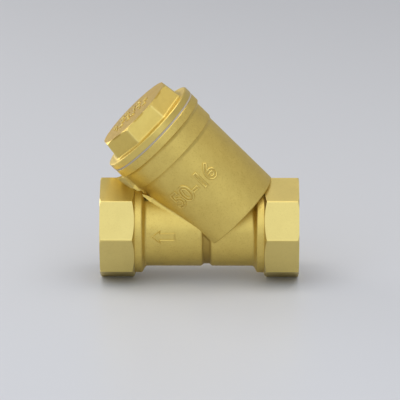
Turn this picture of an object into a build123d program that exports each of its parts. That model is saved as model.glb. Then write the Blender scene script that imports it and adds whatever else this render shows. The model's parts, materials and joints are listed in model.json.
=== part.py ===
from build123d import *
import math
import os

# A brass Y strainer with screwed ends.
# The pipe run lies along X: the inlet is at +X and the outlet at -X.
# The leg rises from the run at an angle, towards the outlet side, in the XZ plane.
# The origin is half way along the run, under its axis, at the height of the lowest octagon corner.
# All sizes are in millimetres. "Station" means the distance along an axis.

# ---- Pipe run ----
overall_length = 140.0
port_corner_count = 8
port_across_flats = 67.0
port_flat_length = 24.5
port_corner_radius = 0.5
port_chamfer_angle = 30.0
port_face_rise = 1.3
port_inner_fall = 0.4
collar_fall = 1.7
collar_length = 5.0
collar_slope_length = 2.4
collar_rounding = 1.4
collar_fillet = 2.2
stub_wall = 3.2
groove_station = 5.0
groove_width = 7.4
groove_depth = 1.6
groove_lean = 1.6
groove_rounding = 2.0
groove_floor_rounding = 1.2

# ---- Ports: internal pipe thread, drawn at its root ----
port_thread_radius = 29.8
port_thread_length = 18.0
port_thread_chamfer = 1.4
port_shoulder_depth = 1.5
waterway_radius = 24.0
inlet_chamber_gap = 3.5

# ---- Leg, measured along its own axis from where it crosses the run's axis ----
leg_angle = 45.0
leg_offset = 37.0
barrel_radius = 34.85
barrel_floor = 2.8
barrel_rim_rounding = 1.0
neck_step = 1.15
neck_length = 20.6
mouth_ring_step = 1.8
mouth_ring_length = 6.8
mouth_station = 98.2
step_length = 0.8
step_rounding = 0.5
mouth_rounding = 0.4

# ---- Leg cavity and seat ----
barrel_wall = 3.85
lower_cavity_step = 3.0
lower_cavity_length = 8.0
cavity_taper_length = 4.0
seat_wall_start = 14.0
seat_wall_thickness = 4.0
seat_recess_depth = 2.0
seat_ledge = 0.6

# ---- Cap thread, the mouth drawn at its root and the spigot at its core ----
mouth_wall = 3.0
mouth_thread_length = 16.0
mouth_lead_in = 0.9
spigot_clearance = 1.3
spigot_length = 13.0
spigot_end_rounding = 0.6

# ---- Gasket ----
gasket_thickness = 1.2
gasket_bore_clearance = 0.4
gasket_edge_inset = 0.1

# ---- Cap ----
flange_overhang = 0.2
flange_thickness = 5.1
flange_rounding = 0.9
flange_seat_rounding = 0.4
head_corner_count = 8
head_corner_radius = 33.4
head_height = 13.5
head_draft_angle = 8.0
head_edge_rounding = 1.2
head_top_radius = 29.4
head_top_fall = 1.5
head_top_rounding = 1.2
head_turn = -12.3
cap_bore_clearance = 1.4
cap_recess_rise = 2.0
cap_recess_depth = 4.0
cap_recess_chamfer = 1.0
cap_pocket_ledge = 2.1
cap_pocket_depth = 9.0
cap_pocket_rounding = 4.0

# ---- Screen cartridge ----
screen_radius = 25.0
screen_sheet = 0.8
liner_sheet = 0.35
liner_gap = 0.15
rim_sheet = 0.5
rim_gap = 0.1
rim_depth = 5.5
rim_recess_clearance = 0.3
screen_end_clearance = 0.3
screen_hole_radius = 1.6
screen_holes_around = 26
screen_hole_rows = 13
screen_hole_margin = 4.5
seam_width = 5.0
seam_height = 0.4
seam_hole_gap = 0.5

# ---- Working lengths ----
cut_margin = 5.0
join_overlap = 1.0
far = 4 * overall_length

# ---- Derived places ----
port_flat_distance = port_across_flats / 2
port_corner_circle = port_flat_distance / math.cos(math.pi / port_corner_count)
port_face_radius = port_flat_distance + port_face_rise
port_inner_radius = port_flat_distance - port_inner_fall
collar_radius = port_flat_distance - collar_fall
stub_radius = waterway_radius + stub_wall
groove_radius = stub_radius - groove_depth
inlet_chamber_start = groove_station + inlet_chamber_gap
run_height = port_corner_circle
half_length = overall_length / 2
flat_end = half_length - port_flat_length
collar_end = flat_end - collar_length
thread_end = half_length - port_thread_length
seat_wall_end = seat_wall_start + seat_wall_thickness
barrel_start = seat_wall_end - barrel_floor
lower_cavity_end = seat_wall_end + lower_cavity_length
neck_start = mouth_station - neck_length
mouth_ring_start = mouth_station - mouth_ring_length
neck_radius = barrel_radius + neck_step
mouth_ring_radius = neck_radius + mouth_ring_step
cavity_radius = barrel_radius - barrel_wall
lower_cavity_radius = cavity_radius - lower_cavity_step
mouth_thread_radius = neck_radius - mouth_wall
spigot_core_radius = mouth_thread_radius - spigot_clearance
gasket_inner_radius = mouth_thread_radius + gasket_bore_clearance
gasket_outer_radius = mouth_ring_radius - gasket_edge_inset
flange_radius = mouth_ring_radius + flange_overhang
flange_station = mouth_station + gasket_thickness
head_station = flange_station + flange_thickness
spigot_end = flange_station - spigot_length
seat_station = seat_wall_end - seat_recess_depth
screen_start = seat_station
cap_recess_station = mouth_station + cap_recess_rise
screen_end = cap_recess_station - screen_end_clearance
rim_outer_radius = screen_radius + rim_gap + rim_sheet
rim_recess_radius = rim_outer_radius + rim_recess_clearance
screen_inner_radius = screen_radius - screen_sheet
liner_outer_radius = screen_inner_radius - liner_gap
liner_inner_radius = liner_outer_radius - liner_sheet
rim_inner_radius = liner_inner_radius - rim_gap - rim_sheet
seat_hole_radius = rim_inner_radius - seat_ledge
cap_bore_radius = rim_outer_radius + cap_bore_clearance
cap_pocket_radius = rim_inner_radius - cap_pocket_ledge

leg_radians = math.radians(leg_angle)
leg_origin = Vector(leg_offset, 0, run_height)
leg_direction = Vector(-math.cos(leg_radians), 0, math.sin(leg_radians))
leg_side = Vector(math.sin(leg_radians), 0, math.cos(leg_radians))
leg_plane = Plane(origin=leg_origin, x_dir=leg_side, z_dir=leg_direction)
run_plane = Plane(origin=(0, 0, run_height), x_dir=(0, 0, 1), z_dir=(1, 0, 0))
lay_inlet = run_plane.location
lay_outlet = Rot(0, 0, 180) * lay_inlet


def turned(corners):
    """Turn a closed outline about Z. A corner is (station, radius) or (station, radius, rounding)."""
    points = [(corner[1], 0, corner[0]) for corner in corners]
    roundings = [corner[2] if len(corner) > 2 else 0 for corner in corners]
    outline = FilletPolyline(*points, radius=roundings, close=True)
    return revolve(make_face(outline), Axis.Z)


def disc(radius, start, end):
    """A plain cylinder about Z between two stations."""
    return Pos(0, 0, start) * Cylinder(radius, end - start, align=(Align.CENTER, Align.CENTER, Align.MIN))


def ring(outer, inner, start, end):
    """A plain tube about Z between two stations."""
    return disc(outer, start, end) - disc(inner, start - cut_margin, end + cut_margin)


def single(shape):
    """The one solid that a boolean result holds."""
    solids = shape.solids()
    assert len(solids) == 1, f"expected one solid, got {len(solids)}"
    return solids[0]


# ---- Pipe run, modelled about Z with the inlet at +Z, then laid along X ----

def octagon_end():
    """One octagon end with its turned chamfers, from its inner end to the port face."""
    slope = math.tan(math.radians(port_chamfer_angle))
    reach = port_corner_circle + cut_margin
    face_fall = (reach - port_face_radius) * slope
    inner_fall = (reach - port_inner_radius) * slope
    base = Plane.XY.offset(flat_end) * RegularPolygon(port_corner_circle, port_corner_count)
    prism = extrude(base, port_flat_length)
    long_edges = prism.edges().filter_by(Axis.Z)
    prism = fillet(long_edges, port_corner_radius)
    chamfers = turned([
        (flat_end, 0),
        (flat_end, port_inner_radius),
        (flat_end + inner_fall, reach),
        (half_length - face_fall, reach),
        (half_length, port_face_radius),
        (half_length, 0),
    ])
    return prism & chamfers


def run_core():
    """Collars, stubs and the groove under the leg, as one turned piece."""
    groove_start = groove_station - groove_width / 2
    groove_end = groove_station + groove_width / 2
    return turned([
        (-flat_end - join_overlap, 0),
        (-flat_end - join_overlap, collar_radius),
        (-collar_end, collar_radius, collar_rounding),
        (-collar_end + collar_slope_length, stub_radius, collar_fillet),
        (groove_start, stub_radius, groove_rounding),
        (groove_start + groove_lean, groove_radius, groove_floor_rounding),
        (groove_end - groove_lean, groove_radius, groove_floor_rounding),
        (groove_end, stub_radius, groove_rounding),
        (collar_end - collar_slope_length, stub_radius, collar_fillet),
        (collar_end, collar_radius, collar_rounding),
        (flat_end + join_overlap, collar_radius),
        (flat_end + join_overlap, 0),
    ])


def leg_shell():
    """Outside of the leg: barrel, neck band and mouth ring."""
    return turned([
        (barrel_start, 0),
        (barrel_start, barrel_radius, barrel_rim_rounding),
        (neck_start, barrel_radius),
        (neck_start + step_length, neck_radius, step_rounding),
        (mouth_ring_start, neck_radius),
        (mouth_ring_start + step_length, mouth_ring_radius, step_rounding),
        (mouth_station, mouth_ring_radius, mouth_rounding),
        (mouth_station, 0),
    ])


def port_cut():
    """Threaded port and waterway at the inlet end, drawn about Z."""
    return turned([
        (0, 0),
        (0, waterway_radius),
        (thread_end - port_shoulder_depth, waterway_radius),
        (thread_end, port_thread_radius),
        (half_length - port_thread_chamfer, port_thread_radius),
        (half_length, port_thread_radius + port_thread_chamfer),
        (half_length + cut_margin, port_thread_radius + port_thread_chamfer),
        (half_length + cut_margin, 0),
    ])


def cavity_cut():
    """Leg cavity above the seat wall, with the mouth's thread bore, drawn along the leg."""
    thread_start = mouth_station - mouth_thread_length
    return turned([
        (seat_wall_end, 0),
        (seat_wall_end, lower_cavity_radius),
        (lower_cavity_end, lower_cavity_radius),
        (lower_cavity_end + cavity_taper_length, cavity_radius),
        (thread_start, cavity_radius),
        (thread_start, mouth_thread_radius),
        (mouth_station - mouth_lead_in, mouth_thread_radius),
        (mouth_station, mouth_thread_radius + mouth_lead_in),
        (mouth_station + cut_margin, mouth_thread_radius + mouth_lead_in),
        (mouth_station + cut_margin, 0),
    ])


def half_space(start, end):
    """A block wide enough to hold the whole body, between two stations along the leg."""
    block = Box(far, far, end - start, align=(Align.CENTER, Align.CENTER, Align.MIN))
    return leg_plane.location * (Pos(0, 0, start) * block)


def make_body():
    """The forged body with its ports, passages, seat and mouth."""
    end = octagon_end()
    outside = lay_inlet * run_core()
    outside += lay_inlet * end
    outside += lay_outlet * end
    outside += leg_plane.location * leg_shell()
    inlet = lay_inlet * port_cut()
    inlet -= Pos(inlet_chamber_start - far / 2, 0, run_height) * Box(far, far, far)
    inlet &= half_space(-far, seat_wall_start)
    upper_inlet = lay_inlet * (port_cut() - disc(far, 0, thread_end - port_shoulder_depth))
    outlet = lay_outlet * port_cut()
    outlet += lay_outlet * disc(waterway_radius, -half_length + port_thread_length, cut_margin)
    outlet &= half_space(seat_wall_end, far)
    body = outside - inlet - upper_inlet - outlet
    body -= leg_plane.location * cavity_cut()
    body -= leg_plane.location * disc(rim_recess_radius, seat_station, seat_wall_end + cut_margin)
    body -= leg_plane.location * disc(seat_hole_radius, seat_wall_start - cut_margin, seat_station + join_overlap)
    return single(body)


# ---- Leg pieces, modelled about Z from the crossing of the axes, then placed along the leg ----

def make_cap():
    """The screwed cap: octagon head, flange, spigot, and the pocket that holds the screen."""
    base = Plane.XY.offset(head_station) * RegularPolygon(head_corner_radius, head_corner_count)
    head = extrude(base, head_height, taper=head_draft_angle)
    half_way = head_station + head_height / 2
    sides = [edge for edge in head.edges() if abs(edge.center().Z - half_way) < head_height / 4]
    head = fillet(sides, head_edge_rounding)
    top = head_station + head_height
    crown = turned([
        (head_station, 0),
        (head_station, head_corner_radius + cut_margin),
        (top - head_top_fall - cut_margin, head_corner_radius + cut_margin),
        (top - head_top_fall, head_corner_radius - head_top_fall, head_top_rounding),
        (top, head_top_radius, head_top_rounding),
        (top, 0),
    ])
    head = Rot(0, 0, head_turn) * (head & crown)
    turning = turned([
        (spigot_end, 0),
        (spigot_end, spigot_core_radius, spigot_end_rounding),
        (flange_station, spigot_core_radius),
        (flange_station, flange_radius, flange_seat_rounding),
        (head_station, flange_radius, flange_rounding),
        (head_station, 0),
    ])
    pocket = turned([
        (spigot_end - cut_margin, 0),
        (spigot_end - cut_margin, cap_bore_radius),
        (cap_recess_station - cap_recess_depth, cap_bore_radius),
        (cap_recess_station - cap_recess_depth + cap_recess_chamfer, rim_recess_radius),
        (cap_recess_station, rim_recess_radius),
        (cap_recess_station, cap_pocket_radius),
        (cap_recess_station + cap_pocket_depth, cap_pocket_radius, cap_pocket_rounding),
        (cap_recess_station + cap_pocket_depth, 0),
    ])
    return single(turning + head - pocket)


def make_gasket():
    """The flat ring between the mouth and the flange."""
    return single(ring(gasket_outer_radius, gasket_inner_radius, mouth_station, flange_station))


def make_screen_tube():
    """The perforated tube, with its lapped seam on the side away from the outlet."""
    start = screen_start + rim_sheet
    end = screen_end - rim_sheet
    tube = ring(screen_radius, screen_inner_radius, start, end)
    seam_start = screen_start + rim_depth + rim_gap
    seam_end = screen_end - rim_depth - rim_gap
    strap = ring(screen_radius + seam_height, screen_radius - screen_sheet / 2, seam_start, seam_end)
    strap &= Pos(screen_radius, 0, 0) * Box(screen_radius, seam_width, far)
    first_row = seam_start + screen_hole_margin
    last_row = seam_end - screen_hole_margin
    spacing = (last_row - first_row) / (screen_hole_rows - 1)
    drill = Rot(0, 90, 0) * disc(screen_hole_radius, screen_radius / 2, screen_radius + cut_margin)
    holes = []
    keep_clear = seam_width / 2 + screen_hole_radius + seam_hole_gap
    for row in range(screen_hole_rows):
        station = first_row + row * spacing
        for place in range(screen_holes_around):
            angle = (place + 0.5 + 0.5 * (row % 2)) * 360 / screen_holes_around
            from_seam = math.radians(min(angle, 360 - angle)) * screen_radius
            if from_seam > keep_clear:
                holes.append(Rot(0, 0, angle) * Pos(0, 0, station) * drill)
    return single(tube + strap - holes)


def make_liner():
    """The fine mesh inside the tube, as a plain thin tube of its outer shape."""
    return single(ring(liner_outer_radius, liner_inner_radius, screen_start + rim_sheet, screen_end - rim_sheet))


def make_rim(base, direction):
    """A folded channel rim. It opens along direction from its flat base."""
    def span(outer, inner, near, far):
        stations = sorted((base + direction * near, base + direction * far))
        return ring(outer, inner, stations[0], stations[1])

    rim = span(rim_outer_radius, rim_inner_radius, 0, rim_sheet)
    rim += span(rim_outer_radius, rim_outer_radius - rim_sheet, 0, rim_depth)
    rim += span(rim_inner_radius + rim_sheet, rim_inner_radius, 0, rim_depth)
    return single(rim)


def write_part(shape, node):
    export_step(shape, f"parts/{node}.step")


os.makedirs("parts", exist_ok=True)
along_leg = leg_plane.location
write_part(make_body(), "strainer_body")
write_part(along_leg * make_cap(), "cap")
write_part(along_leg * make_gasket(), "gasket")
write_part(along_leg * make_screen_tube(), "screen_tube")
write_part(along_leg * make_liner(), "mesh_liner")
write_part(along_leg * make_rim(screen_start, 1), "seat_ring")
write_part(along_leg * make_rim(screen_end, -1), "cap_ring")
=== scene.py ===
import json
import math

import bmesh
import bpy
from mathutils import Matrix, Vector
from mathutils.bvhtree import BVHTree

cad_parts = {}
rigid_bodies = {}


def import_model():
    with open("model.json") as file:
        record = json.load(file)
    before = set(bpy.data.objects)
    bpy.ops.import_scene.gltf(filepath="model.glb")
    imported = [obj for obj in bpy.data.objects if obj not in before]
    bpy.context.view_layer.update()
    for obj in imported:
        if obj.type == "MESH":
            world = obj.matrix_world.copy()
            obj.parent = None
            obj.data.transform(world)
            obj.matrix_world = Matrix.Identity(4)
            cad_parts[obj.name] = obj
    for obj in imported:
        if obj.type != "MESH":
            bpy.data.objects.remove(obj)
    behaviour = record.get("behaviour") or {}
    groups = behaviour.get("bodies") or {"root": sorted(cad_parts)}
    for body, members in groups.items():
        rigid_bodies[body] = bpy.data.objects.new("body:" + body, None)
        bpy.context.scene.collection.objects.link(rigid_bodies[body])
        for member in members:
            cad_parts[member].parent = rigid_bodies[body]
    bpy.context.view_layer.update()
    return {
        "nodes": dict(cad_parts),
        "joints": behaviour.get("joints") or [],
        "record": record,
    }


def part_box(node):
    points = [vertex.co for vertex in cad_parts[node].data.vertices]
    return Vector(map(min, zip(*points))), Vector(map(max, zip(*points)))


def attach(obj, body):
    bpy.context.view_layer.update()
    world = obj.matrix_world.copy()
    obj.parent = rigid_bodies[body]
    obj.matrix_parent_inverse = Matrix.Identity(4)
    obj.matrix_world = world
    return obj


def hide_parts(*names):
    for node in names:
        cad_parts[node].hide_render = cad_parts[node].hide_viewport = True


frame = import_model()

bl_info = {
    "name": "Brass Y strainer",
    "version": (1, 0, 0),
    "blender": (4, 5, 0),
    "location": "3D View > Sidebar > Y strainer",
    "description": "Threads, casting marks, wire mesh, finishes and stage for a screwed brass Y strainer",
    "category": "Object",
}

MM = 0.001

# ---- Places that the frame gives ----
JOINTS = {joint["name"]: joint for joint in frame["joints"]}
MOUNTS = {mount["name"]: mount for mount in frame["record"]["mounts"]}
LEG_ORIGIN = Vector(JOINTS["cap_turn"]["pos_m"])
LEG_DIRECTION = Vector(JOINTS["cap_turn"]["axis"]).normalized()
LEG_SIDE = Vector((0, 1, 0)).cross(LEG_DIRECTION).normalized()
RUN_HEIGHT = LEG_ORIGIN.z
RUN_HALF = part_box("strainer_body")[1].x
LEG_TURN = Matrix((LEG_SIDE, (0, 1, 0), LEG_DIRECTION)).transposed().to_4x4()
LEG_MATRIX = Matrix.Translation(LEG_ORIGIN) @ LEG_TURN


def leg_span(node):
    """Lowest and highest station of a node along the leg."""
    vertices = frame["nodes"][node].data.vertices
    stations = [(vertex.co - LEG_ORIGIN).dot(LEG_DIRECTION) for vertex in vertices]
    return min(stations), max(stations)


GASKET_SPAN = leg_span("gasket")
CAP_SPAN = leg_span("cap")
SCREEN_SPAN = leg_span("mesh_liner")


# ---- Sizes and colours that a user would change ----

def length(name, description, value):
    """A size property, in metres."""
    return bpy.props.FloatProperty(name=name, description=description, default=value, unit="LENGTH",
                                   precision=5)


def colour(name, description, red, green, blue):
    """A colour property. The three values are as seen on a screen, 0 to 255."""
    linear = tuple(((value / 255 + 0.055) / 1.055) ** 2.4 for value in (red, green, blue))
    return bpy.props.FloatVectorProperty(name=name, description=description, default=linear,
                                         subtype="COLOR", size=3, min=0, max=1)


class StrainerSizes(bpy.types.PropertyGroup):
    """Sizes of what is added to the turned and forged shapes."""
    port_pitch: length("Port pitch", "Pitch of the pipe thread, 11 threads to the inch", 25.4 / 11 * MM)
    port_depth: length("Port thread depth", "Height of the pipe thread", 1.35 * MM)
    port_thread_length: length("Port thread length", "Length of thread that is cut in each port", 14.6 * MM)
    cap_pitch: length("Cap pitch", "Pitch of the cap's thread", 2.0 * MM)
    mouth_root: length("Mouth root radius", "Root radius of the thread in the mouth", 33.0 * MM)
    spigot_core: length("Spigot core radius", "Core radius of the thread on the cap", 31.7 * MM)
    cap_thread_depth: length("Cap thread depth", "Height of the cap's thread", 1.05 * MM)
    barrel_radius: length("Barrel radius", "Outer radius of the leg's barrel", 34.85 * MM)
    neck_radius: length("Neck radius", "Outer radius of the neck band", 36.0 * MM)
    stub_radius: length("Stub radius", "Outer radius of the pipe run", 27.2 * MM)
    web_size: length("Web size", "Width of the fill between the neck and the octagon", 6.4 * MM)
    seam_size: length("Corner size", "Width of the small rounding along the rest of the corner", 2.9 * MM)
    flat_radius: length("Octagon radius", "Distance from the run's axis to the octagon's flats", 33.46 * MM)
    web_high: length("Web high end", "Place along the run where the web leaves the octagon", -42.0 * MM)
    web_low: length("Web low end", "Place along the run where the web is down on the plain run", -34.0 * MM)
    neck_length: length("Neck length", "Length of the neck band and the mouth ring together", 20.6 * MM)
    ring_length: length("Mouth ring length", "Length of the mouth ring", 6.8 * MM)
    ring_step: length("Mouth ring step", "How far the mouth ring stands out from the neck", 1.8 * MM)
    mark_height: length("Mark height", "Height that the numbers and the arrow stand proud", 0.5 * MM)
    wire_radius: length("Wire radius", "Radius of the mesh's wires", 0.11 * MM)
    wire_spacing: length("Wire spacing", "Distance between the mesh's wires", 1.25 * MM)


class StrainerColours(bpy.types.PropertyGroup):
    """Colours of the finishes and the stage."""
    brass: colour("Brass", "Blasted forged brass", 221, 196, 109)
    brass_flat: colour("Machined brass", "Brass of the machined flats", 212, 198, 134)
    # Pale brass: the light flecks of the grain, and the painted highlights along the corners of the octagon
    # and of the cap's head.
    pale_brass_and_highlight: colour("Pale brass", "Brass where it is rubbed bright", 232, 210, 128)
    # Dark brass: the dull blotches and dark grain, and the painted shade on the top face of the cap's head.
    dark_brass_and_shade: colour("Dark brass", "Brass in corners, where it is dull", 176, 140, 58)
    # Painted shade at the bottom of the groove round the run.
    groove_painted_shade: colour("Deep brass", "Brass at the bottom of the groove", 128, 92, 32)
    steel: colour("Steel", "Stainless sheet and wire", 190, 188, 182)
    gasket: colour("Gasket", "Grey fibre ring", 186, 172, 148)
    floor: colour("Floor", "Pale floor", 202, 204, 209)


class StrainerSettings(bpy.types.PropertyGroup):
    """Everything that the operators read."""
    sizes: bpy.props.PointerProperty(type=StrainerSizes, name="Sizes", description="Sizes in metres")
    colours: bpy.props.PointerProperty(type=StrainerColours, name="Colours",
                                       description="Colours of the finishes and the floor")


def sizes():
    return bpy.context.scene.y_strainer.sizes


def colours():
    return bpy.context.scene.y_strainer.colours


# ---- Shader expressions ----

class Value:
    """An output of a node that takes part in Python arithmetic."""

    def __init__(self, graph, socket):
        self.graph = graph
        self.socket = socket

    def maths(self, operation, *others, clamp=False):
        settings = {"operation": operation, "use_clamp": clamp}
        inputs = {0: self}
        for index, other in enumerate(others):
            inputs[index + 1] = other
        return self.graph.node("ShaderNodeMath", settings, inputs)

    def reflected(self, operation, other):
        settings = {"operation": operation}
        return self.graph.node("ShaderNodeMath", settings, {0: other, 1: self})

    def __add__(self, other):
        return self.maths("ADD", other)

    def __radd__(self, other):
        return self.reflected("ADD", other)

    def __sub__(self, other):
        return self.maths("SUBTRACT", other)

    def __rsub__(self, other):
        return self.reflected("SUBTRACT", other)

    def __mul__(self, other):
        return self.maths("MULTIPLY", other)

    def __rmul__(self, other):
        return self.reflected("MULTIPLY", other)

    def __abs__(self):
        return self.maths("ABSOLUTE")

    def clamped(self):
        return self.maths("ADD", 0, clamp=True)

    def power(self, exponent):
        return self.maths("POWER", exponent)

    def step(self, low, high):
        """0 below low, 1 above high, smooth between. With low above high it falls instead."""
        settings = {"interpolation_type": "SMOOTHSTEP"}
        inputs = {"Value": self, "From Min": min(low, high), "From Max": max(low, high)}
        rising = self.graph.node("ShaderNodeMapRange", settings, inputs)
        return rising if low < high else 1 - rising


class Graph:
    """The node tree of one material."""

    def __init__(self, name):
        self.material = bpy.data.materials.new(name)
        self.material.use_nodes = True
        self.tree = self.material.node_tree
        self.shader = self.tree.nodes["Principled BSDF"]
        self.position = self.node("ShaderNodeTexCoord", output="Object")

    def node(self, kind, settings=None, inputs=None, output=0):
        """Adds a node. Its settings are set first, then its inputs, and one output comes back."""
        made = self.tree.nodes.new(kind)
        for key, setting in (settings or {}).items():
            setattr(made, key, setting)
        for key, given in (inputs or {}).items():
            socket = made.inputs[key]
            if isinstance(given, Value):
                self.tree.links.new(given.socket, socket)
            else:
                socket.default_value = given
        return Value(self, made.outputs[output])

    def noise(self, scale, detail=3.0, roughness=0.5, vector=None):
        inputs = {"Vector": vector or self.position, "Scale": scale, "Detail": detail,
                  "Roughness": roughness}
        return self.node("ShaderNodeTexNoise", {}, inputs)

    def split(self, vector):
        made = self.tree.nodes.new("ShaderNodeSeparateXYZ")
        self.tree.links.new(vector.socket, made.inputs[0])
        return [Value(self, socket) for socket in made.outputs]

    def join(self, x, y, z):
        return self.node("ShaderNodeCombineXYZ", {}, {0: x, 1: y, 2: z})

    def dot(self, vector, other):
        inputs = {0: vector, 1: tuple(other)}
        return self.node("ShaderNodeVectorMath", {"operation": "DOT_PRODUCT"}, inputs, "Value")

    def mix(self, share, first, second):
        """Blends two colours."""
        inputs = {"Factor": share, 6: first, 7: second}
        return self.node("ShaderNodeMix", {"data_type": "RGBA"}, inputs, 2)

    def set(self, **given):
        """Sets the shader's own sockets. Underscores stand for spaces."""
        for key, value in given.items():
            socket = self.shader.inputs[key.replace("_", " ")]
            if isinstance(value, Value):
                self.tree.links.new(value.socket, socket)
            else:
                socket.default_value = value

    def bump(self, height, strength, distance, normal=None):
        inputs = {"Height": height, "Strength": strength, "Distance": distance}
        if normal is not None:
            inputs["Normal"] = normal
        return self.node("ShaderNodeBump", {}, inputs)


def opaque(values):
    """A colour with full alpha, as a colour socket takes it."""
    return (values[0], values[1], values[2], 1)


def leg_places(graph):
    """Station along the leg, distance from its axis, and angle round it, of the shaded point."""
    inputs = {0: graph.position, 1: tuple(LEG_ORIGIN)}
    offset = graph.node("ShaderNodeVectorMath", {"operation": "SUBTRACT"}, inputs)
    station = graph.dot(offset, LEG_DIRECTION)
    side = graph.dot(offset, LEG_SIDE)
    across = graph.split(offset)[1]
    reach = (side * side + across * across).power(0.5)
    return station, reach, across.maths("ARCTAN2", side)


def run_places(graph):
    """Place along the run, distance from its axis, and angle round it, of the shaded point."""
    x, y, z = graph.split(graph.position)
    rise = z - RUN_HEIGHT
    reach = (y * y + rise * rise).power(0.5)
    return x, reach, y.maths("ARCTAN2", rise)


def corner_mask(angle, corner_angle, width):
    """1 along the eight corners of an octagon, 0 on its flats. Angles are in radians."""
    eighth = math.pi / 4
    away = (angle - corner_angle).maths("PINGPONG", eighth / 2)
    return away.step(width, 0)


# ---- Materials ----

def blasted(graph):
    """The four patterns of blasted forged metal: fine pits, grain, slow waviness and dull blotches."""
    fine = graph.noise(2600, 2.0, 0.6)
    grain = graph.noise(900, 3.0, 0.65)
    wave = graph.noise(70, 2.0, 0.4)
    blotch = graph.noise(160, 4.0, 0.6)
    return fine, grain, wave, blotch


def turned_lines(graph, along, across):
    """Fine lines that a lathe leaves, drawn out round the axis."""
    closeness = 160
    return graph.noise(30, 2.0, 0.5, graph.join(along * closeness, across * closeness, 0))


def body_brass():
    """Blasted brass, with machined octagon flats, port faces, bores and mouth."""
    graph = Graph("forged_brass")
    tint = colours()
    x, reach, angle = run_places(graph)
    station, leg_reach, _ = leg_places(graph)
    fine, grain, wave, blotch = blasted(graph)
    octagon_start = RUN_HALF - 24.6 * MM
    octagon_skin = 32.6 * MM
    barrel_skin = 35.1 * MM
    ring_beyond_barrel = 2.9 * MM
    barrel_low_end = 15.1 * MM
    bore_start = RUN_HALF - 20 * MM
    bore_skin = 31.6 * MM
    mouth_start = 81 * MM
    mouth_skin = 36.0 * MM
    mouth_face = 97.4 * MM
    groove_place = 5 * MM
    groove_half_width = 4.0 * MM
    outer_end = abs(x)
    on_octagon = outer_end.step(octagon_start - 0.3 * MM, octagon_start + 0.1 * MM)
    on_octagon = on_octagon * reach.step(octagon_skin, octagon_skin + 0.3 * MM)
    # On the outlet side the leg's skin is the mouth ring, and on the inlet side it is the barrel.
    leg_edge = x.step(1 * MM, -1 * MM) * ring_beyond_barrel + barrel_skin
    beside_leg = (leg_reach - leg_edge).step(-0.1 * MM, 0.1 * MM)
    off_leg = beside_leg.maths("MAXIMUM", station.step(barrel_low_end + 0.2 * MM, barrel_low_end))
    flats = on_octagon * off_leg
    face = outer_end.step(RUN_HALF - 0.25 * MM, RUN_HALF - 0.1 * MM)
    bore = outer_end.step(bore_start, bore_start + 1.5 * MM) * reach.step(bore_skin, bore_skin - 0.4 * MM)
    mouth = station.step(mouth_start, mouth_start + 1 * MM)
    mouth = mouth * leg_reach.step(mouth_skin, mouth_skin - 2 * MM)
    mouth_top = station.step(mouth_face, mouth_face + 0.3 * MM)
    machined = (flats + face + bore + mouth + mouth_top).clamped()
    # Painted highlight: a pale band along each corner of the octagon.
    corner = corner_mask(angle, 0.0, 0.035) * flats
    parting = abs(graph.split(graph.position)[1]).step(0.55 * MM, 0.2 * MM) * (1 - machined)
    # Painted shade: the bottom of the groove round the run is painted dark.
    groove = abs(x - groove_place).step(groove_half_width, 1.8 * MM)
    groove = groove * reach.step(27.1 * MM, 26.4 * MM)
    dull = blotch.step(0.38, 0.66)
    base = graph.mix(dull * 0.1, opaque(tint.brass), opaque(tint.dark_brass_and_shade))
    base = graph.mix(grain.step(0.5, 0.72) * 0.3, base, opaque(tint.pale_brass_and_highlight))
    base = graph.mix(grain.step(0.46, 0.3) * 0.3, base, opaque(tint.dark_brass_and_shade))
    base = graph.mix(flats * 0.5, base, opaque(tint.brass_flat))
    # Painted highlight along the octagon's corners, and a paler line along the parting plane.
    base = graph.mix((corner * 0.8 + parting * 0.3).clamped(), base, opaque(tint.pale_brass_and_highlight))
    base = graph.mix(groove * 0.55, base, opaque(tint.groove_painted_shade))
    turning = turned_lines(graph, outer_end, reach)
    rough = 0.47 + (grain - 0.5) * 0.18 + (wave - 0.5) * 0.12
    rough = rough - (machined - flats) * 0.17 - flats * 0.06
    height = (fine * 0.5 + grain * 0.5) * (1 - machined)
    blasted_bump = graph.bump(height, 0.8, 0.14 * MM)
    height = turning * (bore + face + mouth).clamped() + wave * 0.6 + parting * 2.0
    normal = graph.bump(height, 0.25, 0.15 * MM, blasted_bump)
    graph.set(Base_Color=base, Metallic=1.0, Roughness=rough, Normal=normal)
    return graph.material


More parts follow.
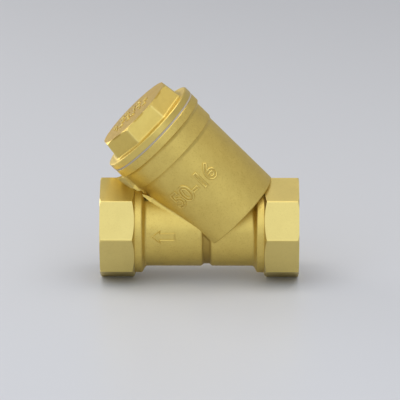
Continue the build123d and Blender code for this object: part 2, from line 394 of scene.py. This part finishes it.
def cap_brass():
    """Blasted brass on the cap, with a turned flange edge and spigot."""
    graph = Graph("cap_brass")
    tint = colours()
    station, reach, angle = leg_places(graph)
    fine, grain, wave, blotch = blasted(graph)
    head_start = CAP_SPAN[1] - 13.0 * MM
    head_top = CAP_SPAN[1] - 1.6 * MM
    first_corner = math.radians(-12.3)
    corner_skin = 30.0 * MM
    top_edge = 29.6 * MM
    flange_edge = 37.7 * MM
    head = station.step(head_start, head_start + 0.4 * MM)
    spigot = station.step(GASKET_SPAN[1] + 0.2 * MM, GASKET_SPAN[1])
    turned = (spigot + reach.step(flange_edge, flange_edge + 0.2 * MM) * 0.6).clamped()
    # Painted highlight: a pale band along each corner of the head.
    corner = corner_mask(angle, first_corner, 0.05) * head
    corner = corner * reach.step(corner_skin, corner_skin + 0.8 * MM)
    # Painted shade: the top face of the head is painted darker, on top of the random dull blotches.
    top = station.step(head_top, head_top + 0.7 * MM) * reach.step(top_edge, top_edge - 0.4 * MM)
    dull = (blotch.step(0.38, 0.66) * 0.1 + top * 0.6).clamped()
    base = graph.mix(dull, opaque(tint.brass), opaque(tint.dark_brass_and_shade))
    bright = (corner * 0.7 + grain.step(0.5, 0.72) * 0.3 + turned * 0.2).clamped()
    base = graph.mix(bright, base, opaque(tint.pale_brass_and_highlight))
    rough = 0.45 + (grain - 0.5) * 0.18 + (wave - 0.5) * 0.12 - turned * 0.15 - corner * 0.06
    turning = turned_lines(graph, station, reach)
    blasted_bump = graph.bump(fine * 0.5 + grain * 0.5, 0.7, 0.13 * MM)
    height = turning * turned + wave * 0.6
    normal = graph.bump(height, 0.25, 0.15 * MM, blasted_bump)
    graph.set(Base_Color=base, Metallic=1.0, Roughness=rough, Normal=normal)
    return graph.material


def mark_brass():
    """Brass of the raised marks and threads, a little brighter than the ground they stand on."""
    graph = Graph("mark_brass")
    tint = colours()
    _, grain, wave, blotch = blasted(graph)
    base = graph.mix(blotch.step(0.35, 0.7) * 0.3, opaque(tint.brass), opaque(tint.pale_brass_and_highlight))
    rough = 0.4 + (grain - 0.5) * 0.2 + (wave - 0.5) * 0.1
    graph.set(Base_Color=base, Metallic=1.0, Roughness=rough, Normal=graph.bump(grain, 0.4, 0.1 * MM))
    return graph.material


def screen_steel():
    """Punched and rolled stainless sheet, with faint rolling lines."""
    graph = Graph("screen_steel")
    station, _, angle = leg_places(graph)
    lines = graph.noise(18, 4.0, 0.6, graph.join(station * 40, angle * 0.6, 0))
    smear = graph.noise(120, 3.0, 0.5)
    base = graph.mix(lines * 0.35, opaque(colours().steel), (0.30, 0.29, 0.28, 1))
    rough = 0.3 + (smear - 0.5) * 0.2 + (lines - 0.5) * 0.15
    graph.set(Base_Color=base, Metallic=1.0, Roughness=rough, Normal=graph.bump(lines, 0.2, 0.06 * MM))
    return graph.material


def wire_steel():
    """Drawn stainless wire."""
    graph = Graph("mesh_steel")
    smear = graph.noise(400, 2.0, 0.5)
    base = graph.mix(smear * 0.4, opaque(colours().steel), (0.25, 0.24, 0.23, 1))
    graph.set(Base_Color=base, Metallic=1.0, Roughness=0.28 + smear * 0.12)
    return graph.material


def gasket_fibre():
    """Pale grey pressed fibre."""
    graph = Graph("gasket_grey")
    station, _, angle = leg_places(graph)
    strands = graph.noise(60, 4.0, 0.7, graph.join(angle * 6, station * 900, 0))
    fleck = graph.noise(1500, 2.0, 0.5)
    base = graph.mix(strands.step(0.4, 0.7) * 0.4, opaque(colours().gasket), (0.33, 0.33, 0.31, 1))
    normal = graph.bump(strands + fleck, 0.4, 0.08 * MM)
    graph.set(Base_Color=base, Roughness=0.62 + fleck * 0.2, Normal=normal)
    return graph.material


def floor_finish():
    """Pale matt floor."""
    graph = Graph("pale_floor")
    grain = graph.noise(60, 3.0, 0.5)
    base = graph.mix(grain * 0.03, opaque(colours().floor), (0.5, 0.5, 0.5, 1))
    graph.set(Base_Color=base, Roughness=0.42, Specular_IOR_Level=0.4)
    return graph.material


MATERIALS = {}


def finish(name):
    """The material of a finish, made when it is first asked for."""
    makers = {
        "forged_brass": body_brass,
        "cap_brass": cap_brass,
        "mark_brass": mark_brass,
        "screen_steel": screen_steel,
        "mesh_steel": wire_steel,
        "gasket_grey": gasket_fibre,
        "pale_floor": floor_finish,
    }
    if name not in MATERIALS:
        MATERIALS[name] = makers[name]()
    return MATERIALS[name]


# ---- Mesh helpers ----

def piece(name, mesh, material, body):
    """Makes an object of a finished bmesh and lets it ride on a body."""
    bmesh.ops.remove_doubles(mesh, verts=mesh.verts, dist=1e-7)
    bmesh.ops.recalc_face_normals(mesh, faces=mesh.faces)
    data = bpy.data.meshes.new(name)
    mesh.to_mesh(data)
    mesh.free()
    data.materials.append(finish(material))
    made = bpy.data.objects.new(name, data)
    bpy.context.scene.collection.objects.link(made)
    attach(made, body)
    return made


def smooth(made, angle=35):
    """Smooth shading with sharp edges above an angle in degrees."""
    made.data.polygons.foreach_set("use_smooth", [True] * len(made.data.polygons))
    mesh = bmesh.new()
    mesh.from_mesh(made.data)
    for edge in mesh.edges:
        if len(edge.link_faces) == 2:
            edge.smooth = edge.calc_face_angle(0) < math.radians(angle)
    mesh.to_mesh(made.data)
    mesh.free()


def screw_ridge(root, crest, start, end, pitch, base_width, crest_width):
    """A helical ridge about Z that fades out at both ends."""
    steps_a_turn = 72
    fade_length = pitch * 0.6
    height_at_end = 0.3
    mesh = bmesh.new()
    outline = [(root, -base_width / 2), (crest, -crest_width / 2), (crest, crest_width / 2),
               (root, base_width / 2)]
    corners = [mesh.verts.new((radius, 0, start + rise)) for radius, rise in outline]
    edges = [mesh.edges.new((corners[index], corners[(index + 1) % 4])) for index in range(4)]
    turns = (end - start) / pitch
    steps = round(turns * steps_a_turn)
    bmesh.ops.spin(mesh, geom=corners + edges, cent=(0, 0, 0), axis=(0, 0, 1),
                   dvec=(0, 0, (end - start) / steps), angle=turns * 2 * math.pi, steps=steps,
                   use_merge=False, use_normal_flip=False, use_duplicate=False)
    bmesh.ops.holes_fill(mesh, edges=[edge for edge in mesh.edges if edge.is_boundary], sides=4)
    for vertex in mesh.verts:
        from_end = min(vertex.co.z - start, end - vertex.co.z)
        share = min(1, max(0, from_end / fade_length + height_at_end))
        radius = math.hypot(vertex.co.x, vertex.co.y)
        wanted = root + (radius - root) * share
        vertex.co.x *= wanted / radius
        vertex.co.y *= wanted / radius
    return mesh


def bridge(mesh, loops, closed=False):
    """Joins closed sections, given as lists of vertices, into one skin."""
    for loop in loops:
        for index, vertex in enumerate(loop):
            mesh.edges.new((vertex, loop[index - 1]))
    following = loops[1:] + loops[:1] if closed else loops[1:]
    for near, far in zip(loops, following):
        edges = []
        for loop in (near, far):
            edges += [mesh.edges.get((loop[index], loop[index - 1])) for index in range(len(loop))]
        bmesh.ops.bridge_loops(mesh, edges=edges)


def bend_round(mesh, radius, place):
    """Wraps a flat mesh (X along the arc, Y along the axis, Z outwards) and sends it through place()."""
    for vertex in mesh.verts:
        angle = vertex.co.x / radius
        vertex.co = place(angle, vertex.co.y, radius + vertex.co.z)


def curve_mesh(curve):
    """Turns a curve into a bmesh and removes the curve."""
    holder = bpy.data.objects.new("curve", curve)
    bpy.context.scene.collection.objects.link(holder)
    bpy.context.view_layer.update()
    data = bpy.data.meshes.new_from_object(holder.evaluated_get(bpy.context.evaluated_depsgraph_get()))
    mesh = bmesh.new()
    mesh.from_mesh(data)
    bpy.data.objects.remove(holder)
    bpy.data.meshes.remove(data)
    bmesh.ops.remove_doubles(mesh, verts=mesh.verts, dist=1e-6)
    return mesh


def flat_numbers(text, height, spacing, depth, outline=False):
    """Raised numbers in the XY plane, centred, as a bmesh.

    An outline leaves only a round bead along the edges.
    """
    figure_share = 0.7
    swelling = height * 0.02
    curve = bpy.data.curves.new("numbers", "FONT")
    curve.body = text
    curve.size = height / figure_share
    curve.space_character = spacing
    curve.align_x = "CENTER"
    curve.align_y = "CENTER"
    curve.extrude = 0 if outline else depth / 2
    curve.offset = swelling
    curve.bevel_depth = depth if outline else swelling
    curve.bevel_resolution = 2
    curve.fill_mode = "NONE" if outline else "BOTH"
    return curve_mesh(curve)


def flat_bead(corners, radius):
    """A closed round bead through corners in the XY plane, as a bmesh."""
    curve = bpy.data.curves.new("bead", "CURVE")
    curve.dimensions = "3D"
    spline = curve.splines.new("POLY")
    spline.points.add(len(corners) - 1)
    for point, corner in zip(spline.points, corners):
        point.co = (*corner, 0, 1)
    spline.use_cyclic_u = True
    curve.bevel_depth = radius
    curve.bevel_resolution = 2
    return curve_mesh(curve)


# ---- Operators ----

class StrainerOperator:
    """What the operators have in common."""
    bl_options = {"REGISTER", "UNDO"}

    def execute(self, context):
        """Makes the operator's pieces, and fails if one of them came out empty."""
        before = set(bpy.data.objects)
        self.make()
        for made in set(bpy.data.objects) - before:
            if made.type == "MESH" and not made.data.polygons:
                raise RuntimeError(made.name + " has no faces")
        return {"FINISHED"}


class STRAINER_OT_finishes(StrainerOperator, bpy.types.Operator):
    """Gives every turned, forged and punched piece its finish"""
    bl_idname = "strainer.finishes"
    bl_label = "Finish the pieces"

    def make(self):
        finishes = {
            "strainer_body": "forged_brass",
            "cap": "cap_brass",
            "gasket": "gasket_grey",
            "screen_tube": "screen_steel",
            "seat_ring": "screen_steel",
            "cap_ring": "screen_steel",
        }
        for node, name in finishes.items():
            data = frame["nodes"][node].data
            data.materials.clear()
            data.materials.append(finish(name))


class STRAINER_OT_port_threads(StrainerOperator, bpy.types.Operator):
    """Cuts the pipe thread in both ports"""
    bl_idname = "strainer.port_threads"
    bl_label = "Port threads"

    def make(self):
        size = sizes()
        below_face = 1.9 * MM
        sunk = 0.05 * MM
        base_width = size.port_pitch * 0.92
        crest_width = size.port_pitch * 0.16
        for end in ("inlet", "outlet"):
            mount = MOUNTS[end + "_port"]
            root = mount["dims"]["r_mm"] * MM
            outward = Vector(mount["axis"])
            finish_at = RUN_HALF - below_face
            start = finish_at - size.port_thread_length
            mesh = screw_ridge(root + sunk, root - size.port_depth, start, finish_at, size.port_pitch,
                               base_width, crest_width)
            turn = outward.to_track_quat("Z", "Y").to_matrix().to_4x4()
            place = Matrix.Translation((0, 0, RUN_HEIGHT)) @ turn
            bmesh.ops.transform(mesh, matrix=place, verts=mesh.verts)
            smooth(piece(end + "_thread", mesh, "mark_brass", "body"))


class STRAINER_OT_cap_threads(StrainerOperator, bpy.types.Operator):
    """Cuts the thread on the cap's spigot and in the mouth"""
    bl_idname = "strainer.cap_threads"
    bl_label = "Cap threads"

    def make(self):
        size = sizes()
        pitch = size.cap_pitch
        sunk = 0.05 * MM
        widths = (pitch * 0.8, pitch * 0.15)
        start = CAP_SPAN[0] + 0.9 * MM
        end = GASKET_SPAN[0] - 1.6 * MM
        male = screw_ridge(size.spigot_core - sunk, size.spigot_core + size.cap_thread_depth,
                           start, end, pitch, *widths)
        # A turn and a half deeper, the mouth's ridge lies midway between two turns of the cap's.
        deeper = 1.5 * pitch
        female = screw_ridge(size.mouth_root + sunk, size.mouth_root - size.cap_thread_depth,
                             start - deeper, end, pitch, *widths)
        for name, mesh, body, slot in (("cap_thread", male, "cap", "cap_brass"),
                                       ("mouth_thread", female, "body", "forged_brass")):
            bmesh.ops.transform(mesh, matrix=LEG_MATRIX, verts=mesh.verts)
            smooth(piece(name, mesh, "mark_brass", body))


class STRAINER_OT_web(StrainerOperator, bpy.types.Operator):
    """Fills the corner between the leg and the outlet side of the run"""
    bl_idname = "strainer.web"
    bl_label = "Corner web"

    def point(self, angle, reach, station):
        """A point at a distance from the leg's axis. The angle opens from underneath to the front."""
        outward = -LEG_SIDE * math.cos(angle) - Vector((0, 1, 0)) * math.sin(angle)
        return LEG_ORIGIN + LEG_DIRECTION * station + outward * reach

    def height_over_run(self, point):
        """How far a point lies outside a smooth skin that eases from the octagon down to the plain run."""
        size = sizes()
        across = abs(point.y)
        rise = point.z - RUN_HEIGHT
        lean = math.pi / 8
        reaches = [rise * math.cos(turn) + across * math.sin(turn) for turn in (lean, 3 * lean)]
        octagon = max(reaches) - size.flat_radius
        plain = math.hypot(rise, across) - size.stub_radius
        share = (point.x - size.web_high) / (size.web_low - size.web_high)
        share = min(1, max(0, share))
        share = share * share * (3 - 2 * share)
        return octagon + (plain - octagon) * share

    def landing(self, angle, reach):
        """Station at which a line along the leg meets that skin, found by halving."""
        low, high = 12 * MM, 100 * MM
        halvings = 40
        for _ in range(halvings):
            middle = (low + high) / 2
            if self.height_over_run(self.point(angle, reach, middle)) > 0:
                high = middle
            else:
                low = middle
        return high

    def section(self, shell, angle, width, hollow):
        """Points round one cross-section of the fill, from the leg to the run and back under both."""
        size = sizes()
        sunk = 0.04 * MM
        search_from = 1.2 * MM
        foot_depth = 0.4 * MM
        root_depth = 1.5 * MM
        ring_clearance = 0.2 * MM
        curve_steps = 6
        neck_start = GASKET_SPAN[0] - size.neck_length
        corner = self.landing(angle, size.barrel_radius)
        on_neck = min(1, max(0, (corner - neck_start) / (1 * MM) + 1))
        reach = size.barrel_radius + (size.neck_radius - size.barrel_radius) * on_neck
        corner = self.landing(angle, reach)
        top = min(corner + width, GASKET_SPAN[0] - size.ring_length - ring_clearance)
        leg_side = self.point(angle, reach - sunk, top)
        run_side = self.point(angle, reach + width, self.landing(angle, reach + width) - sunk)
        pull = self.point(angle, reach, corner).lerp((leg_side + run_side) / 2, hollow)
        axis_point = Vector((run_side.x, 0, RUN_HEIGHT))
        inward = (axis_point - run_side).normalized()
        run_side, _, _, _ = shell.ray_cast(run_side - inward * search_from, inward)
        run_side = run_side + inward * sunk
        foot = run_side + inward * foot_depth
        root = self.point(angle, reach - root_depth, corner - root_depth)
        shares = [step / curve_steps for step in range(curve_steps + 1)]
        points = [leg_side.lerp(pull, share).lerp(pull.lerp(run_side, share), share) for share in shares]
        return points + [foot, root]

    def make(self):
        size = sizes()
        source = bmesh.new()
        source.from_mesh(frame["nodes"]["strainer_body"].data)
        shell = BVHTree.FromBMesh(source)
        source.free()
        mesh = bmesh.new()
        last = math.radians(47.5)
        wide_end = math.radians(25)
        change = math.radians(9)
        taper_share = 0.2
        end_share = 0.12
        web_hollow = 0.75
        seam_hollow = 0.10
        steps = 110
        loops = []
        for step in range(-steps, steps + 1):
            angle = last * step / steps
            wide = max(0, 1 - abs(angle) / wide_end) ** 1.2
            ending = min(1, (1 - abs(step) / steps) / taper_share + end_share)
            width = (size.seam_size + (size.web_size - size.seam_size) * wide) * ending
            along_change = min(1, max(0, (abs(angle) - wide_end) / change))
            hollow = web_hollow - (web_hollow - seam_hollow) * along_change
            loops.append([mesh.verts.new(point) for point in self.section(shell, angle, width, hollow)])
        bridge(mesh, loops)
        bmesh.ops.holes_fill(mesh, edges=[edge for edge in mesh.edges if edge.is_boundary], sides=0)
        smooth(piece("corner_web", mesh, "forged_brass", "body"), 50)


class STRAINER_OT_fillets(StrainerOperator, bpy.types.Operator):
    """Rounds the inside corners of the neck's steps and of the cap's head"""
    bl_idname = "strainer.fillets"
    bl_label = "Inside corner fillets"

    def strip(self, name, sections, body, slot):
        """Bridges closed sections round the leg into one ring."""
        mesh = bmesh.new()
        loops = [[mesh.verts.new(LEG_MATRIX @ point) for point in section] for section in sections]
        bridge(mesh, loops, closed=True)
        smooth(piece(name, mesh, slot, body), 60)

    def neck_coves(self, turns):
        """Hollow roundings where the neck band and the mouth ring step out."""
        size = sizes()
        width = 1.9 * MM
        over_step = 0.7 * MM
        rise_share = 0.92
        curve_steps = 6
        mouth = GASKET_SPAN[0]
        neck = ((mouth - size.neck_length, size.barrel_radius, size.neck_radius),
                (mouth - size.ring_length, size.neck_radius, size.neck_radius + size.ring_step))
        for number, (station, inner, outer) in enumerate(neck):
            rise = (outer - inner) * rise_share
            start = station - width
            profile = [(inner - 0.05 * MM, start)]
            for step in range(1, curve_steps + 1):
                share = step / curve_steps
                radius = inner - 0.02 * MM + rise * share ** 2
                profile.append((radius, start + (width + over_step) * share))
            profile.append((inner - 0.3 * MM, station + over_step))
            sections = []
            for turn in turns:
                outward = Vector((math.cos(turn), math.sin(turn), 0))
                sections.append([outward * radius + Vector((0, 0, place)) for radius, place in profile])
            self.strip(f"neck_cove_{number + 1}", sections, "body", "forged_brass")

    def head_fillet(self, turns):
        """A quarter-round hollow between the cap's head and its flange."""
        source = bmesh.new()
        source.from_mesh(frame["nodes"]["cap"].data)
        source.transform(LEG_MATRIX.inverted())
        shell = BVHTree.FromBMesh(source)
        source.free()
        ledge = GASKET_SPAN[1] + 5.1 * MM
        reach = 2.0 * MM
        sunk = 0.03 * MM
        outside = 45 * MM
        curve_steps = 6
        sections = []
        for turn in turns:
            outward = Vector((math.cos(turn), math.sin(turn), 0))
            high = Vector((0, 0, ledge + reach))
            low = Vector((0, 0, ledge + 0.1 * MM))
            side, _, _, _ = shell.ray_cast(outward * outside + high, -outward)
            foot, _, _, _ = shell.ray_cast(outward * outside + low, -outward)
            wall = math.hypot(side.x, side.y) - sunk
            toe = math.hypot(foot.x, foot.y) + reach
            section = []
            for step in range(curve_steps + 1):
                sweep = step / curve_steps * math.pi / 2
                radius = toe - (toe - wall) * math.sin(sweep)
                rise = Vector((0, 0, ledge - sunk + reach * (1 - math.cos(sweep))))
                section.append(outward * radius + rise)
            section.append(outward * (wall - 0.6 * MM) + Vector((0, 0, ledge - 0.4 * MM)))
            sections.append(section)
        self.strip("head_fillet", sections, "cap", "cap_brass")

    def make(self):
        steps = 180
        turns = [2 * math.pi * step / steps for step in range(steps)]
        self.neck_coves(turns)
        self.head_fillet(turns)


class STRAINER_OT_marks(StrainerOperator, bpy.types.Operator):
    """Raises the plain numbers and the flow arrow"""
    bl_idname = "strainer.marks"
    bl_label = "Raised marks"

    def arrow(self):
        """The outline of an arrow on the run, bent round it, pointing to the outlet."""
        size = sizes()
        half_length = 8 * MM
        half_shaft = 2.3 * MM
        half_head = 4.3 * MM
        neck = -2.3 * MM
        middle_x = -25.4 * MM
        bead_radius = 1.2 * size.mark_height
        longest_edge = 2 * MM
        outline = [(-half_length, 0), (neck, half_head), (neck, half_shaft), (half_length, half_shaft),
                   (half_length, -half_shaft), (neck, -half_shaft), (neck, -half_head)]
        mesh = flat_bead(outline, bead_radius)
        long_edges = [edge for edge in mesh.edges if edge.calc_length() > longest_edge]
        bmesh.ops.subdivide_edges(mesh, edges=long_edges, cuts=3)
        for vertex in mesh.verts:
            angle = vertex.co.y / size.stub_radius
            radius = size.stub_radius + vertex.co.z
            vertex.co = Vector((middle_x + vertex.co.x, -radius * math.cos(angle),
                                RUN_HEIGHT + radius * math.sin(angle)))
        smooth(piece("flow_arrow", mesh, "mark_brass", "body"), 40)

    def barrel_numbers(self):
        """The outlined numbers on the front of the barrel, read across the leg."""
        size = sizes()
        height = 12.0 * MM
        station = 55.5 * MM
        side_angle = -2 * MM / size.barrel_radius
        bead_radius = 1.5 * size.mark_height
        longest_edge = 1.5 * MM
        mesh = flat_numbers("50-16", height, 1.0, bead_radius, outline=True)
        long_edges = [edge for edge in mesh.edges if edge.calc_length() > longest_edge]
        bmesh.ops.subdivide_edges(mesh, edges=long_edges, cuts=2)

        def place(angle, rise, radius):
            around = angle + side_angle
            outward = Vector((0, -1, 0)) * math.cos(around) + LEG_SIDE * math.sin(around)
            return LEG_ORIGIN + LEG_DIRECTION * (station + rise) + outward * radius

        bend_round(mesh, size.barrel_radius, place)
        smooth(piece("barrel_numbers", mesh, "mark_brass", "body"), 40)

    def cap_numbers(self):
        """Three rows of raised numbers on the top of the cap."""
        size = sizes()
        mesh = bmesh.new()
        rows = ("50 16", "2 50 16 2", "16 50 16")
        height = 5.5 * MM
        spacing = 9 * MM
        first_row = 14 * MM
        shift = -3 * MM
        for number, text in enumerate(rows):
            row = flat_numbers(text, height, 1.1, 2 * size.mark_height)
            across = first_row - number * spacing
            bmesh.ops.translate(row, vec=(shift, across, CAP_SPAN[1]), verts=row.verts)
            data = bpy.data.meshes.new("row")
            row.to_mesh(data)
            row.free()
            mesh.from_mesh(data)
            bpy.data.meshes.remove(data)
        bmesh.ops.transform(mesh, matrix=LEG_MATRIX, verts=mesh.verts)
        smooth(piece("cap_numbers", mesh, "mark_brass", "cap"), 40)

    def make(self):
        self.arrow()
        self.barrel_numbers()
        self.cap_numbers()


class STRAINER_OT_wire_mesh(StrainerOperator, bpy.types.Operator):
    """Weaves the fine mesh inside the screen tube"""
    bl_idname = "strainer.wire_mesh"
    bl_label = "Wire mesh"

    def make(self):
        size = sizes()
        radius = 23.85 * MM
        wire_sides = 4
        low, high = SCREEN_SPAN
        around = round(math.pi * radius / size.wire_spacing) * 2
        pairs = round((high - low) / size.wire_spacing / 2)
        spacing = (high - low) / pairs / 2
        weave = size.wire_radius * 2
        upright = Matrix.Rotation(math.pi / 2, 4, "X")
        mesh = bmesh.new()
        # Two neighbouring hoops, each a wire spun round the axis.
        for row in range(2):
            place = Matrix.Translation((radius, 0, low + (row + 0.5) * spacing)) @ upright
            ring = bmesh.ops.create_circle(mesh, segments=wire_sides, radius=size.wire_radius,
                                           matrix=place)["verts"]
            edges = list({edge for vertex in ring for edge in vertex.link_edges})
            bmesh.ops.spin(mesh, geom=ring + edges, cent=(0, 0, 0), axis=(0, 0, 1), angle=2 * math.pi,
                           steps=around, use_merge=True, use_duplicate=False)
        # They pass in front of and behind the upright wires by turns, and are then repeated up the tube.
        for vertex in mesh.verts:
            turn = round(math.atan2(vertex.co.y, vertex.co.x) / (2 * math.pi) * around)
            row = round((vertex.co.z - low) / spacing - 0.5)
            outward = Vector((vertex.co.x, vertex.co.y, 0)).normalized()
            vertex.co += outward * weave * (-1) ** (turn + row)
        hoops = list(mesh.verts) + list(mesh.edges) + list(mesh.faces)
        bmesh.ops.spin(mesh, geom=hoops, cent=(0, 0, 0), axis=(0, 0, 1), dvec=(0, 0, 2 * spacing), angle=0,
                       steps=pairs - 1, use_duplicate=True)
        # One straight upright wire, repeated round the tube.
        place = Matrix.Translation((radius, 0, low))
        wire = bmesh.ops.create_circle(mesh, segments=wire_sides, radius=size.wire_radius,
                                       matrix=place)["verts"]
        edges = list({edge for vertex in wire for edge in vertex.link_edges})
        made = bmesh.ops.extrude_edge_only(mesh, edges=edges)["geom"]
        ends = [item for item in made if isinstance(item, bmesh.types.BMVert)]
        bmesh.ops.translate(mesh, vec=(0, 0, high - low), verts=ends)
        faces = {face for vertex in wire for face in vertex.link_faces}
        geometry = wire + ends + list({edge for face in faces for edge in face.edges}) + list(faces)
        bmesh.ops.spin(mesh, geom=geometry, cent=(0, 0, 0), axis=(0, 0, 1),
                       angle=2 * math.pi * (around - 1) / around, steps=around - 1, use_duplicate=True)
        bmesh.ops.transform(mesh, matrix=LEG_MATRIX, verts=mesh.verts)
        made = piece("wire_mesh", mesh, "mesh_steel", "screen")
        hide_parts("mesh_liner")


class STRAINER_OT_stage(StrainerOperator, bpy.types.Operator):
    """Sets out the floor, the lights and the camera"""
    bl_idname = "strainer.stage"
    bl_label = "Stage"

    def floor(self):
        half_width = 12
        mesh = bmesh.new()
        bmesh.ops.create_grid(mesh, x_segments=1, y_segments=1, size=half_width)
        data = bpy.data.meshes.new("floor")
        mesh.to_mesh(data)
        mesh.free()
        data.materials.append(finish("pale_floor"))
        made = bpy.data.objects.new("floor", data)
        bpy.context.scene.collection.objects.link(made)

    def softbox(self, name, azimuth, elevation, distance, width, height, power, tint):
        """A soft panel aimed at the middle of the object. Angles are in degrees, lengths in metres."""
        target = Vector((0, 0, 60 * MM))
        turn = math.radians(azimuth)
        lift = math.radians(elevation)
        direction = Vector((math.sin(turn) * math.cos(lift), -math.cos(turn) * math.cos(lift),
                            math.sin(lift)))
        data = bpy.data.lights.new(name, "AREA")
        data.shape = "RECTANGLE"
        data.size = width
        data.size_y = height
        data.energy = power
        data.color = tint
        made = bpy.data.objects.new(name, data)
        made.location = target + direction * distance
        made.rotation_euler = direction.to_track_quat("Z", "Y").to_euler()
        bpy.context.scene.collection.objects.link(made)

    def camera(self):
        elevation = math.radians(14.66)
        azimuth = math.radians(0.48)
        distance = 2.832
        aim_right = 0.2 * MM
        aim_above_run = 19.3 * MM
        forward = Vector((-math.sin(azimuth) * math.cos(elevation), math.cos(azimuth) * math.cos(elevation),
                          -math.sin(elevation)))
        right = Vector((math.cos(azimuth), math.sin(azimuth), 0))
        up = right.cross(forward)
        aim = Vector((0, 0, RUN_HEIGHT)) + right * aim_right + up * aim_above_run
        data = bpy.data.cameras.new("camera")
        data.lens = 360
        data.sensor_width = 36
        data.clip_end = 60
        made = bpy.data.objects.new("camera", data)
        made.location = aim - forward * distance
        made.rotation_euler = (-forward).to_track_quat("Z", "Y").to_euler()
        bpy.context.scene.collection.objects.link(made)
        bpy.context.scene.camera = made

    def world(self):
        world = bpy.data.worlds.new("room")
        world.use_nodes = True
        background = world.node_tree.nodes["Background"]
        background.inputs["Color"].default_value = (0.98, 0.98, 1.0, 1)
        background.inputs["Strength"].default_value = 0.48
        bpy.context.scene.world = world

    def make(self):
        self.floor()
        self.world()
        self.softbox("front_panel", azimuth=-11, elevation=37, distance=1.8, width=3.1, height=2.1,
                     power=19.5, tint=(0.80, 0.885, 1.0))
        self.softbox("left_panel", azimuth=-128, elevation=10, distance=1.5, width=0.9, height=0.8,
                     power=7, tint=(1.0, 0.98, 0.94))
        self.softbox("top_panel", azimuth=0, elevation=88, distance=1.5, width=1.9, height=0.9,
                     power=12, tint=(1.0, 0.95, 0.88))
        self.camera()
        bpy.context.scene.view_settings.view_transform = "Standard"


class STRAINER_PT_panel(bpy.types.Panel):
    """Lists the strainer's operators"""
    bl_idname = "STRAINER_PT_panel"
    bl_label = "Y strainer"
    bl_space_type = "VIEW_3D"
    bl_region_type = "UI"
    bl_category = "Y strainer"

    def draw(self, context):
        for operator in OPERATORS:
            self.layout.operator(operator.bl_idname)
        settings = context.scene.y_strainer
        for group in (settings.sizes, settings.colours):
            for name in group.__annotations__:
                self.layout.prop(group, name)


OPERATORS = (
    STRAINER_OT_finishes,
    STRAINER_OT_port_threads,
    STRAINER_OT_cap_threads,
    STRAINER_OT_web,
    STRAINER_OT_fillets,
    STRAINER_OT_marks,
    STRAINER_OT_wire_mesh,
    STRAINER_OT_stage,
)
CLASSES = (StrainerSizes, StrainerColours, StrainerSettings, *OPERATORS, STRAINER_PT_panel)


def register():
    for item in CLASSES:
        bpy.utils.register_class(item)
    bpy.types.Scene.y_strainer = bpy.props.PointerProperty(type=StrainerSettings, name="Y strainer",
                                                           description="Settings of the Y strainer")


def unregister():
    del bpy.types.Scene.y_strainer
    for item in reversed(CLASSES):
        bpy.utils.unregister_class(item)


def main():
    register()
    bpy.ops.strainer.finishes()
    bpy.ops.strainer.port_threads()
    bpy.ops.strainer.cap_threads()
    bpy.ops.strainer.web()
    bpy.ops.strainer.fillets()
    bpy.ops.strainer.marks()
    bpy.ops.strainer.wire_mesh()
    bpy.ops.strainer.stage()


if __name__ == "__main__":
    main()
